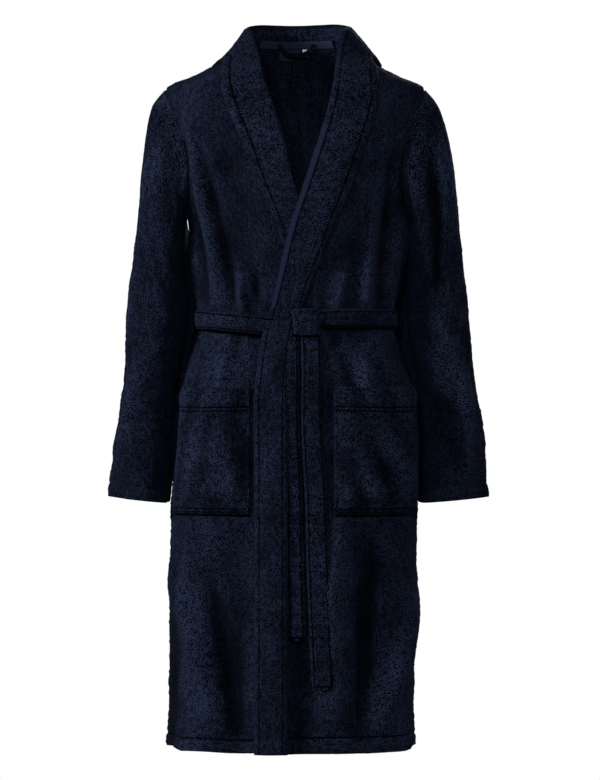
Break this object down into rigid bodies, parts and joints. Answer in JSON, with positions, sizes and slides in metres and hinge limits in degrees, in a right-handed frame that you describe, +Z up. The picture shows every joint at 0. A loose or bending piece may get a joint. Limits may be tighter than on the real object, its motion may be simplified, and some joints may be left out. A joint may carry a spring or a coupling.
{
  "type": "bathrobe",
  "caption": "Knee-length fleece bathrobe with a shawl collar, long sleeves, patch pockets and a tied belt, wrapped left over right.",
  "frame": {"origin": "centre of the neck's base between the shoulders, which is where a wearer or hanger holds the robe up", "axes": "+Z up along the body, front faces -Y, +X is the wearer's left"},
  "size_m": [0.6268, 0.3136, 1.1876],
  "materials": {
    "fleece": "navy coral fleece, curly matt pile",
    "collar_fleece": "navy coral fleece, folded double",
    "belt_fleece": "navy coral fleece strap",
    "neck_tape": "navy herringbone tape",
    "label_ground": "dark woven satin label",
    "size_tab": "white woven tab"
  },
  "bodies": {
    "robe": {"back_panel": "fleece", "right_front_panel": "fleece", "left_front_panel": "fleece", "right_front_band": "collar_fleece", "left_front_band": "collar_fleece", "right_shawl_collar": "collar_fleece", "left_shawl_collar": "collar_fleece", "right_pocket": "fleece", "left_pocket": "fleece", "belt_waist_run": "belt_fleece", "belt_knot": "belt_fleece", "right_belt_loop": "belt_fleece", "left_belt_loop": "belt_fleece", "neck_tape": "neck_tape", "woven_label": "label_ground", "size_tab": "size_tab"},
    "right_arm": {"right_sleeve": "fleece"},
    "left_arm": {"left_sleeve": "fleece"},
    "hem_corner": {"left_front_corner": "fleece", "left_band_corner": "collar_fleece"},
    "long_tail": {"belt_long_tail": "belt_fleece"},
    "short_tail": {"belt_short_tail": "belt_fleece"},
    "hang_loop": {"hanger_loop": "belt_fleece"}
  },
  "joints": [
    {"name": "left_sleeve_raise", "type": "hinge", "parent": "robe", "child": "left_arm", "pos_m": [0.2134, 0, -0.045], "axis": [0, -1, 0], "range_deg": [0, 80]},
    {"name": "right_sleeve_raise", "type": "hinge", "parent": "robe", "child": "right_arm", "pos_m": [-0.2134, 0, -0.045], "axis": [0, 1, 0], "range_deg": [0, 80]},
    {"name": "hem_corner_fold", "type": "hinge", "parent": "robe", "child": "hem_corner", "pos_m": [-0.063, -0.144, -0.64], "axis": [-0.1602, 0.0513, 0.9858], "range_deg": [0, 75]},
    {"name": "long_tail_swing", "type": "hinge", "parent": "robe", "child": "long_tail", "pos_m": [0.026, -0.1295, -0.4526], "axis": [-1, 0, 0], "range_deg": [0, 60]},
    {"name": "short_tail_swing", "type": "hinge", "parent": "robe", "child": "short_tail", "pos_m": [-0.006, -0.1295, -0.4526], "axis": [-1, 0, 0], "range_deg": [0, 60]},
    {"name": "hanger_loop_flip", "type": "hinge", "parent": "robe", "child": "hang_loop", "pos_m": [0.002, 0.066, 0.036], "axis": [-1, 0, 0], "range_deg": [0, 120]}
  ]
}
